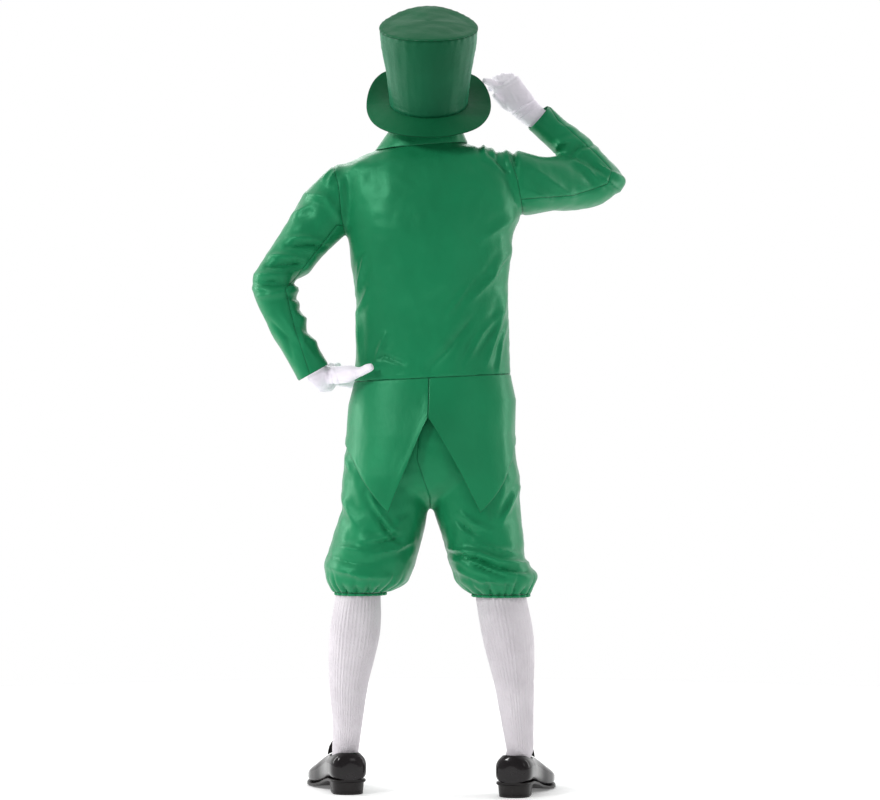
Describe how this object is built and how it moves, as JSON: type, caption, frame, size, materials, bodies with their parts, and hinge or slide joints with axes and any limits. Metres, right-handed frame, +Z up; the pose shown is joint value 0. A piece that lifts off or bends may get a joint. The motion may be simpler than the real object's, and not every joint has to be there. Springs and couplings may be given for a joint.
{
  "type": "leprechaun costume",
  "caption": "A worn leprechaun costume: green top hat, open hollow tailcoat with pointed tails, gathered knee breeches, white gloves and ribbed stockings, black flapped shoes.",
  "frame": {"origin": "Between the shoulders at the middle of the coat, 1.5 m above the floor that the heels stand on, where the wearer carries the coat.", "axes": "+X is the left side of the garment, +Y its back, +Z up."},
  "size_m": [0.8752, 0.4061, 1.8456],
  "materials": {
    "coat_cloth": "soft satin weave",
    "breeches_cloth": "soft satin weave",
    "hat_satin": "glossy satin",
    "button": "gloss",
    "glove_satin": "soft satin",
    "stocking_knit": "ribbed knit",
    "shoe_leather": "high gloss",
    "shoe_sole": "satin"
  },
  "bodies": {
    "root": {"coat_back": "coat_cloth", "coat_front_left": "coat_cloth", "coat_front_right": "coat_cloth", "sleeve_left_top": "coat_cloth", "sleeve_left_under": "coat_cloth", "sleeve_right_top": "coat_cloth", "sleeve_right_under": "coat_cloth", "tail_left": "coat_cloth", "tail_right": "coat_cloth", "collar": "coat_cloth", "button_1": "button", "button_2": "button", "button_3": "button", "button_4": "button", "breeches_waistband": "breeches_cloth", "breeches_left_back": "breeches_cloth", "breeches_left_front": "breeches_cloth", "breeches_right_back": "breeches_cloth", "breeches_right_front": "breeches_cloth", "casing_left": "breeches_cloth", "casing_right": "breeches_cloth", "hat_crown": "hat_satin", "hat_tip": "hat_satin", "hat_brim": "hat_satin", "glove_left": "glove_satin", "glove_right": "glove_satin", "stocking_left": "stocking_knit", "stocking_right": "stocking_knit", "shoe_left_upper": "shoe_leather", "shoe_left_flap": "shoe_leather", "shoe_right_upper": "shoe_leather", "shoe_right_flap": "shoe_leather", "shoe_left_sole": "shoe_sole", "shoe_left_heel": "shoe_sole", "shoe_right_sole": "shoe_sole", "shoe_right_heel": "shoe_sole"}
  },
  "joints": []
}
